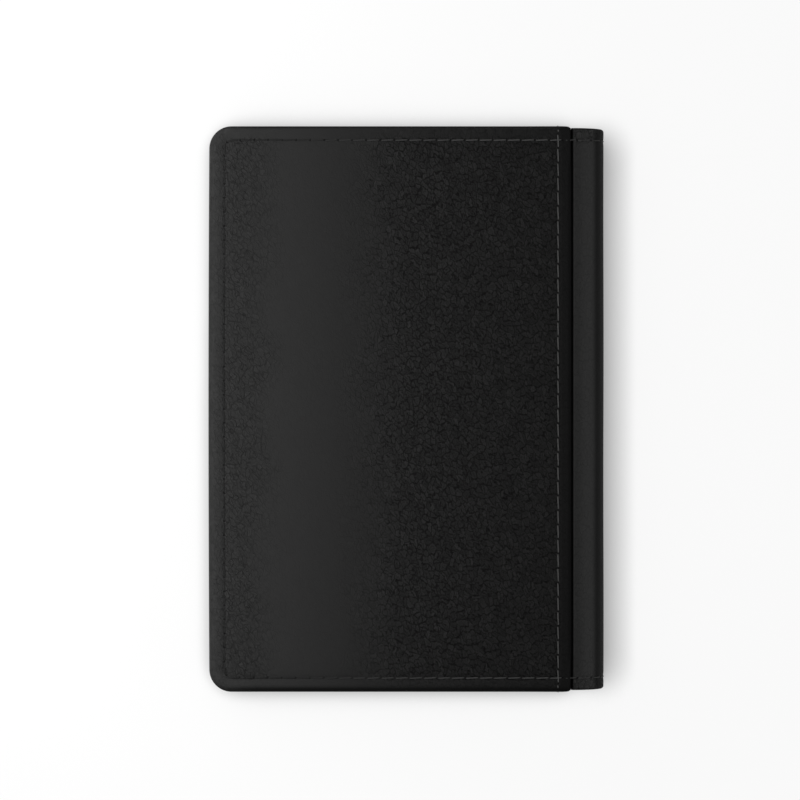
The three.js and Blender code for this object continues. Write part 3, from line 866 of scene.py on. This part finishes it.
class COVER_OT_materials(bpy.types.Operator):
    """Make the finishes and give the core layers theirs"""

    bl_idname = "cover.materials"
    bl_label = "Materials and core"

    def execute(self, context):
        sizes, colours = context.scene.cover_sizes, context.scene.cover_colours
        cover_leather("pebbled_leather", sizes, colours.leather, 1.0, gloss=0.43, shine=0.115)
        # The spine takes a lighter copy of the leather: partly its own tone and partly a painted
        # highlight
        cover_leather("spine_leather", sizes, colours.spine, 1.6, gloss=0.36, shine=0.09)
        pocket_leather(sizes, colours)
        lining_cloth(sizes, colours)
        sewing_thread(colours)
        core = {
            "foam": core_material("padding_foam", (0.10, 0.10, 0.105), 2500, 0.2, 0.95, 0.0),
            "board": core_material("grey_board", (0.32, 0.29, 0.24), 900, 0.06, 0.9, 0.0),
            "rfid_shield": core_material("laminated_foil", (0.48, 0.50, 0.53), 400, 0.03, 0.4, 0.9),
        }
        for side in SIDES:
            for layer, material in core.items():
                mesh = frame["nodes"][f"{side}_{layer}"].data
                mesh.materials.clear()
                mesh.materials.append(material)
        return {"FINISHED"}


class COVER_OT_panels(bpy.types.Operator):
    """Make the padded outer leather of both panels, with its turned-in edges"""

    bl_idname = "cover.panels"
    bl_label = "Panel leather"

    def execute(self, context):
        sizes = context.scene.cover_sizes
        points, flat, marks = panel_leather(sizes)
        walls = points, points + sizes.leather / MM * grid_normals(points)
        for side, body in SIDES.items():
            piece = make_shell(f"{side}_panel_leather", walls, "pebbled_leather", flat, marks, side,
                               inside=False)
            parts = ("leather", "turn_in_head", "turn_in_tail", "turn_in_fore")
            dress(piece, body, "cover_leather", *(f"{side}_{part}" for part in parts))
        return {"FINISHED"}


class COVER_OT_spine(bpy.types.Operator):
    """Make the spine's outer leather, in two halves"""

    bl_idname = "cover.spine"
    bl_label = "Spine leather"

    def execute(self, context):
        pitch = context.scene.cover_sizes.stitch_pitch / MM
        # It is tucked under the panel's edge, and the halves lap a little at the fold
        tuck = [-0.3, -0.15, 0, 0.03, 0.07, 0.11, 0.15, 0.19, 0.24, 0.3, 0.4, 0.6, 0.9, 1.4]
        near = np.array(tuck) / SPINE_RADIUS
        climb = np.linspace(near[-1], TURN, 33)[1:-1]
        rise = np.concatenate([near, climb, [TURN - 0.012, TURN + 0.003]]) - TURN
        for part, angles in (("front", rise), ("back", -rise[::-1])):
            points, flat, marks = spine_wall(angles, pitch)
            walls = points, points - SPINE_LEATHER * grid_normals(points)
            piece = make_shell(f"spine_{part}_leather", walls, "spine_leather", flat, marks)
            dress(piece, None, "cover_leather", f"spine_leather_{part}")
            lengths = SPINE_RADIUS * TURN, flat[0, 0, 1] - flat[0, -1, 1]
            tuple(length * MM for length in lengths)
            bend_at_hinge(piece, part)
        return {"FINISHED"}


def flange_section():
    """Section of a flange as x and depth: flat on the panel, then round its edge to the crease."""
    left, top = box_mm("front_spine_flange")[[0, 1], [0, 2]]
    flat = [(left, top - 0.15), (left + 0.12, top - 0.03), (left + 0.4, top), (37.0, top),
            (38.6, top), (39.05, top - 0.05), (CREASE_SEAM_X, top - 0.09), (39.65, top - 0.05),
            (40.1, top), (41.3, top)]
    angle = np.linspace(0, TURN, 7)
    bend = [(42.5 + 0.8 * np.sin(a), top - 0.8 + 0.8 * np.cos(a)) for a in angle]
    fall = [(43.3 + 0.12 * np.sin(a), top - 0.8 - (top - 2.2) * a / TURN) for a in angle[1:]]
    return np.array([*flat, *bend, *fall])


class COVER_OT_linings(bpy.types.Operator):
    """Make the lining cloth of the panels and of the spine"""

    bl_idname = "cover.linings"
    bl_label = "Linings"

    def execute(self, context):
        for side in SIDES:
            self.panel(side)
            self.flange(side)
            self.spine_half(side)
        return {"FINISHED"}

    def panel(self, side):
        """A panel's lining: a flat sheet with rounded edges that dips a little here and there."""
        low, high = box_mm(f"{side}_lining")
        depth = high[2] if side == "front" else THICKNESS - low[2]
        rings = ring_table([(0, 0.22), (0.1, 0.06), (0.3, 0), (1.5, 0)], LINING_BAND)
        columns = np.linspace(low[0] + LINING_BAND, high[0] - LINING_BAND, 25)
        rows = np.linspace(low[1] + LINING_BAND, high[1] - LINING_BAND, 41)
        grid = onion_grid((low[0], high[0], low[1], high[1]), (rings,) * 3, LINING_BAND, (0.6, 0.6),
                          (1, 1, 1, 1), columns, rows)
        dip = 0.04 * np.sin(0.21 * grid["x"]) * np.sin(0.13 * grid["y"] + 0.4) * grid["inner"]
        walls = at_depth(grid, depth - grid["depth"] - np.abs(dip)), at_depth(grid, depth - 0.36)
        piece = make_shell(f"{side}_panel_lining", walls, "woven_cloth", pattern(grid), side=side)
        dress(piece, SIDES[side], "lining_cloth", f"{side}_lining")

    def strip(self, section, under):
        """A strip of lining between head and tail as two grids, with its flat size and pattern."""
        ends = STRIP_END - np.array([0, 0.12, 0.4])
        y = np.concatenate([-ends, np.linspace(1 - STRIP_END, STRIP_END - 1, 47), ends[::-1]])
        hem = fade(np.abs(y), STRIP_END - 0.4, STRIP_END)[:, None] ** 2
        lengths = way_along(section)
        top, below = (np.stack(np.broadcast_arrays(line[:, :1], y, line[:, 1:]), -1)
                      for line in (section, under))
        flat = np.stack(np.broadcast_arrays(lengths[:, None], y), -1)
        size = (lengths[-1] * MM, 2 * STRIP_END * MM)
        return (top + 0.4 * hem * (below - top), below), size, flat

    def flange(self, side):
        """The lining's flange, sewn to a panel along the crease."""
        section = flange_section()
        slope = np.gradient(section, axis=0)
        out = np.column_stack([-slope[:, 1], slope[:, 0]])
        out /= np.linalg.norm(slope, axis=1)[:, None]
        walls, size, flat = self.strip(section, section - 0.4 * out)
        piece = make_shell(f"{side}_flange", walls, "fine_leather", flat, side=side)
        dress(piece, SIDES[side], "pocket_leather", f"{side}_spine_flange")

    def spine_half(self, side):
        """Half of the spine's lining: a round inside the leather that dips to it along the fold.

        It is worked out on the front half, where height is depth.
        """
        angles = np.concatenate([np.linspace(-TURN, -0.3, 24), np.linspace(-0.3, 0, 16)[1:]])
        radius = LINING_RADIUS + 1.1 * np.exp(-((np.abs(angles) / 0.075) ** 1.4))
        under = on_spine(angles, np.minimum(radius + 0.45, SPINE_RADIUS - 0.1))
        walls, size, flat = self.strip(on_spine(angles, radius), under)
        piece = make_shell(f"spine_{side}_lining", walls, "woven_cloth", flat, side=side)
        dress(piece, None, "lining_cloth", f"spine_lining_{side}")
        bend_at_hinge(piece, side)


# Each pocket: its panel, the side its mouth is on, and how deep its folded hem is
POCKETS = {
    "passport_sleeve": ("front", "right", 6.0),
    "boarding_pass_pocket": ("back", "top", 6.0),
    "card_slot_1": ("back", "top", 4.5),
    "card_slot_2": ("back", "top", 4.5),
    "card_slot_3": ("back", "top", 4.5),
    "sim_pocket": ("back", "top", 3.0),
}


def pocket_sheet(node, side, mouth, hem):
    """A pocket's sheet as two grids: soft edges on its sewn sides and a folded hem at its mouth.

    The hem stands a little proud of the sheet, with a pressed line along its inner border, and the
    sheet swells slightly towards its middle. Gives the walls, the flat pattern and the wear.
    """
    low, high = box_mm(node)
    outer = low[2] if side == "front" else THICKNESS - high[2]
    thick = high[2] - low[2]
    small = node == "sim_pocket"
    seam, band, corner = (1.6, 4.0, (0.8, 0.8)) if small else (2.45, 6.0, (4.6, 0.8))
    rings = ring_table([(0, 0.65 * thick), (0.07, 0.35 * thick), (0.2, 0.12 * thick), (0.5, 0),
                        (seam - 0.8, 0), (seam - 0.35, 0.05), (seam, 0.09), (seam + 0.35, 0.05),
                        (seam + 0.9, 0)], band)
    # Lines that follow the mouth: along the hem's inner border, and along the edge
    steps = np.array([-1.2, -0.35, -0.1, 0.0, 0.12, 0.35])
    edge = np.array([hem - 1.2, 0.5, 0.2, 0.07, 0])

    def lines_to_mouth(start, end, count):
        return np.concatenate([np.linspace(start, end - hem - 2, count), end - hem + steps,
                               end - edge])

    x0, x1, y0, y1 = low[0], high[0], low[1], high[1]
    if mouth == "right":
        sides = (1, 0, 1, 1)
        columns = lines_to_mouth(x0 + band, x1, 24)
        rows = np.linspace(y0 + band, y1 - band, 40)
    else:
        sides = (1, 1, 1, 0)
        columns = np.linspace(x0 + band, x1 - band, 30)
        rows = lines_to_mouth(y0 + band, y1, max(int((y1 - y0) / 3.5), 4))
    grid = onion_grid((x0, x1, y0, y1), (rings,) * 3, band, corner, sides, columns, rows)
    gone = x1 - grid["x"] if mouth == "right" else y1 - grid["y"]
    fold = 0.09 * fade(gone, hem + 0.105, hem - 0.245)
    fold = fold - 0.07 * np.exp(-((gone - hem) / 0.18) ** 2)
    lip = thick * 0.6 * fade(gone, 0.2, 0) ** 2
    swell = 0.12 * np.clip(1 - ((grid["x"] + 4.3) / 47) ** 2, 0, 1)
    swell = swell * np.clip(1 - (grid["y"] / 72) ** 2, 0, 1)
    depth = outer + thick - grid["depth"] + fold * (grid["inset"] > 0.4) - lip + swell
    walls = at_depth(grid, depth), at_depth(grid, outer + swell)
    return walls, pattern(grid), np.exp(-(gone / 0.5) ** 2)


class COVER_OT_pockets(bpy.types.Operator):
    """Make the passport sleeve, the boarding pass pocket, the card slots and the SIM pocket"""

    bl_idname = "cover.pockets"
    bl_label = "Pockets"

    def execute(self, context):
        for node, (side, mouth, hem) in POCKETS.items():
            walls, flat, wear_and_highlight = pocket_sheet(node, side, mouth, hem)
            piece = make_shell(f"{node}_leather", walls, "fine_leather", flat, {"wear_and_highlight": wear_and_highlight}, side)
            dress(piece, SIDES[side], "pocket_leather", node)
        return {"FINISHED"}


class COVER_OT_stitches(bpy.types.Operator):
    """Sew every seam: edges, creases, spine and pockets"""

    bl_idname = "cover.stitches"
    bl_label = "Stitches"

    def execute(self, context):
        sizes = context.scene.cover_sizes
        self.width, self.pitch = sizes.thread / MM, sizes.stitch_pitch / MM
        radius, crease_pitch = sizes.corner_radius / MM, sizes.crease_pitch / MM
        line = edge_seam(radius, HOLE_X, TAIL_SEAM_X, SEAM_DEPTH)
        edge = self.row(line, out_normals(line), 0.0, self.pitch)
        line, normals = crease_seam_line()
        path, _ = even_path(line, normals)
        lead = np.argmin(np.abs(path[:, 1] - HOLE_Y)) * PATH_STEP % crease_pitch
        crease = self.row(line, normals, lead - crease_pitch, crease_pitch)
        # The crease seams get a stronger painted light than the edge seams
        for side in SIDES:
            self.sew(f"{side}_edge_stitches", edge, side, f"{side}_edge_seam")
            self.sew(f"{side}_crease_stitches", crease, side, f"{side}_crease_seam", painted_light=1.0)
        self.spine_rows()
        self.inside_rows(radius)
        return {"FINISHED"}

    def row(self, line, normals, lead, pitch):
        """The stitches of one line, from a lead before its first hole."""
        path, facing = even_path(line, normals)
        starts = np.arange(lead, path_length(path) - 0.6 * pitch, pitch)
        return stitch_row(path, facing, starts[starts > -0.55 * pitch], pitch, self.width)

    def sew(self, name, row, side, node, painted_light=0.7):
        """One row on a panel, given in x, y, depth, whose thread gets painted light that pales it
        towards the spine.
        """
        points, faces, flat = row_turned_over(row) if side == "back" else row
        marks = {"painted_light": painted_light * fade(points[:, 0], -30, 25)}
        piece = make_piece(name, points, faces, "sewing_thread", flat, marks)
        dress(piece, SIDES[side], "thread", node)

    def spine_rows(self):
        """The head and tail seams across the spine, divided at its fold as the leather is."""
        seam = HALF_HEIGHT - SEAM_INSET
        rows = []
        for y in (seam, -seam):
            path, facing = even_path(*spine_seam_line(y))
            beyond, up = path[:, 0] - CREASE_X, SPINE_RADIUS - path[:, 2]
            on_round = (beyond > 0) & (SPINE_RADIUS * np.arctan2(beyond, up) > SPINE_HOLE)
            lead = PATH_STEP * np.argmax(on_round)
            pitch = (path_length(path) - lead) / SPINE_STITCHES
            starts = lead + pitch * np.arange(SPINE_STITCHES)
            rows.append(stitch_row(path, facing, np.zeros(1), lead, self.width, lift=0.1))
            rows.append(stitch_row(path, facing, starts, pitch, self.width, lift=0.1))
        front = join(rows)
        for part, row in (("front", front), ("back", row_turned_over(front))):
            points, faces, flat = row
            # The thread across the spine gets one even level of painted light
            marks = {"painted_light": np.full(len(points), 0.4)}
            name = f"spine_{part}_stitches"
            piece = make_piece(name, points, faces, "sewing_thread", flat, marks)
            dress(piece, None, "thread", *(f"spine_seam_{end}_{part}" for end in ("head", "tail")))
            bend_at_hinge(piece, part)

    def inside_rows(self, radius):
        """The seams that show inside: round the sleeve, down the flange and round the pockets."""
        mouth, _, level = box_mm("passport_sleeve")[1]
        line = edge_seam(radius, mouth - 0.4, mouth - 0.4, level - SUNK)
        self.sew_inside("sleeve_stitches", line, "front", "passport_sleeve_seam")
        low, high = box_mm("front_flange_seam")
        line = np.array([[CREASE_SEAM_X, y, LIP_DEPTH - 0.04] for y in (high[1], low[1])])
        self.sew_inside("flange_stitches", line, "front", "front_flange_seam")
        for name in ("pocket_seam_fore", "pocket_seam_crease"):
            line = self.climb(box_mm(name)[:, 0].mean())
            self.sew_inside(name.replace("seam", "stitches"), line, "back", name)
        low, high = box_mm("pocket_seam_tail")
        level = THICKNESS - box_mm("card_slot_3")[0][2] - SUNK
        line = np.array([[x, low[1] + 0.22, level] for x in (low[0], high[0])])
        self.sew_inside("pocket_stitches_tail", line, "back", "pocket_seam_tail")

    def climb(self, x):
        """A line from the boarding pass pocket's mouth to the tail that climbs each card slot."""
        names = ("boarding_pass_pocket", "card_slot_1", "card_slot_2", "card_slot_3")
        boxes = [box_mm(name) for name in names]
        tops = [THICKNESS - box[0][2] - SUNK for box in boxes]
        ys = [box[1][1] for box in boxes]
        line = [(x, ys[0] - 0.3, tops[0])]
        for y, before, after in zip(ys[1:], tops[:-1], tops[1:]):
            line += [(x, y + 0.4, before), (x, y - 0.3, after)]
        line.append((x, box_mm("pocket_seam_tail")[1][1], tops[-1]))
        return np.array(line)

    def sew_inside(self, name, line, side, node):
        """A row of stitches on the inside, which rises towards the middle of the cover."""
        self.sew(name, self.row(line, -out_normals(line), 0.2, self.pitch), side, node)


# Lamps and camera in metres and watts, and the floor in millimetres
CAMERA_PLACE, CAMERA_LENS = (-0.0017, 0.00235, 1.217), 208.0
LAMPS = {
    "left": {"place": (-0.125, 0.1, 0.105), "aim": (-0.125, 0.1, 0.0), "size": (0.20, 0.44),
             "power": 0.68},
    "right": {"place": (0.38, 0.0, 0.25), "aim": (0.045, 0.0, 0.0), "size": (0.28, 0.6),
              "power": 0.85},
}
SKY_STRENGTH = 0.05
FLOOR_HALF, BACKDROP_RADIUS, FLOOR_LEVEL = 2000, 1000, -0.05


class COVER_OT_stage(bpy.types.Operator):
    """Make the floor, the soft lamps and the camera"""

    bl_idname = "cover.stage"
    bl_label = "Stage"

    def execute(self, context):
        scene = context.scene
        self.floor()
        for name, lamp in LAMPS.items():
            light = bpy.data.lights.new(name, "AREA")
            light.shape, light.energy = "RECTANGLE", lamp["power"]
            light.size, light.size_y = lamp["size"]
            lamp_object = bpy.data.objects.new(name, light)
            place, aim = np.array(lamp["place"]), np.array(lamp["aim"])
            lamp_object.location = place
            turn = np.arctan2(aim[0] - place[0], place[2] - aim[2])
            lamp_object.rotation_euler = (0, -turn, 0)
            lamp_object.visible_camera = False
            scene.collection.objects.link(lamp_object)
        self.world(scene)
        camera = bpy.data.cameras.new("camera")
        camera.lens, camera.sensor_width = CAMERA_LENS, 36.0
        camera.clip_start, camera.clip_end = 0.01, 20.0
        camera_object = bpy.data.objects.new("camera", camera)
        camera_object.location = CAMERA_PLACE
        scene.collection.objects.link(camera_object)
        scene.camera = camera_object
        scene.view_settings.view_transform = "Standard"
        return {"FINISHED"}

    def floor(self):
        """A pale floor that rises into a backdrop all round and shows white, but for a soft shadow.

        The shadow is the share of directions that near things block, more of them from the left.
        """
        nodes = Nodes("pale_floor")
        tone = nodes.noise(nodes.add("TexCoord", output=3), 30.0, 3.0)
        colour = nodes.shade(tone, (1, 1, 1), 0.80, 0.82)
        nodes.finish(Base_Color=colour, Roughness=0.9, Specular_IOR_Level=0.0)
        lean = nodes.add("CombineXYZ", {0: -0.2, 1: 0.0, 2: 1.0})
        near = nodes.add("AmbientOcclusion", {"Distance": 12 * MM, "Normal": lean}, output=1,
                         samples=24)
        level = nodes.add("MapRange", {"Value": near, "From Min": 0.3, "From Max": 0.92,
                                       "To Min": 0.22})
        glow = nodes.add("Emission", {"Strength": level})
        path = nodes.add("LightPath").socket.node
        rays = [Value(nodes, path.outputs[name])
                for name in ("Is Camera Ray", "Is Glossy Ray", "Is Transmission Ray")]
        plain = Value(nodes, nodes.shader.outputs[0])
        mixed = nodes.add("MixShader", {0: nodes.most(*rays) * 0.92, 1: plain, 2: glow})
        nodes.feed(nodes.tree.nodes["Material Output"].inputs["Surface"], mixed)
        rise = BACKDROP_RADIUS * np.sin(np.linspace(0, TURN, 8)[1:])
        half = np.concatenate([np.linspace(0, FLOOR_HALF, 6), FLOOR_HALF + rise])
        line = np.concatenate([-half[:0:-1], half])
        x, y = np.meshgrid(line, line, indexing="ij")
        reach = np.maximum(np.abs(x), np.abs(y))
        beyond = fade(reach, FLOOR_HALF, FLOOR_HALF + BACKDROP_RADIUS)
        z = BACKDROP_RADIUS * (1 - np.sqrt(1 - beyond**2)) + FLOOR_LEVEL
        points = np.stack([x, y, z], -1).reshape(-1, 3)
        faces = grid_quads(len(line), len(line))
        make_piece("floor", points, faces, "pale_floor", points[:, :2])

    def world(self, scene):
        """A dim even sky."""
        scene.world = bpy.data.worlds.new("studio")
        scene.world.use_nodes = True
        sky = scene.world.node_tree.nodes["Background"]
        sky.inputs["Color"].default_value = (1, 1, 1, 1)
        sky.inputs["Strength"].default_value = SKY_STRENGTH


OPERATORS = (
    COVER_OT_materials, COVER_OT_panels, COVER_OT_spine, COVER_OT_linings, COVER_OT_pockets,
    COVER_OT_stitches, COVER_OT_stage,
)


class COVER_PT_panel(bpy.types.Panel):
    """Lists the cover's sizes, colours and steps."""

    bl_idname = "COVER_PT_panel"
    bl_label = "Travel document cover"
    bl_space_type = "VIEW_3D"
    bl_region_type = "UI"
    bl_category = "Cover"

    def draw(self, context):
        for group in (context.scene.cover_sizes, context.scene.cover_colours):
            for name in group.__annotations__:
                self.layout.prop(group, name)
        for operator in OPERATORS:
            self.layout.operator(operator.bl_idname)


CLASSES = (CoverSizes, CoverColours, *OPERATORS, COVER_PT_panel)


def register():
    """Registers the classes and the scene's settings."""
    for each in CLASSES:
        bpy.utils.register_class(each)
    bpy.types.Scene.cover_sizes = PointerProperty(type=CoverSizes)
    bpy.types.Scene.cover_colours = PointerProperty(type=CoverColours)


def unregister():
    """Removes the scene's settings and the classes."""
    del bpy.types.Scene.cover_colours
    del bpy.types.Scene.cover_sizes
    for each in reversed(CLASSES):
        bpy.utils.unregister_class(each)


def main():
    register()
    for operator in OPERATORS:
        group, name = operator.bl_idname.split(".")
        getattr(getattr(bpy.ops, group), name)()


if __name__ == "__main__":
    main()
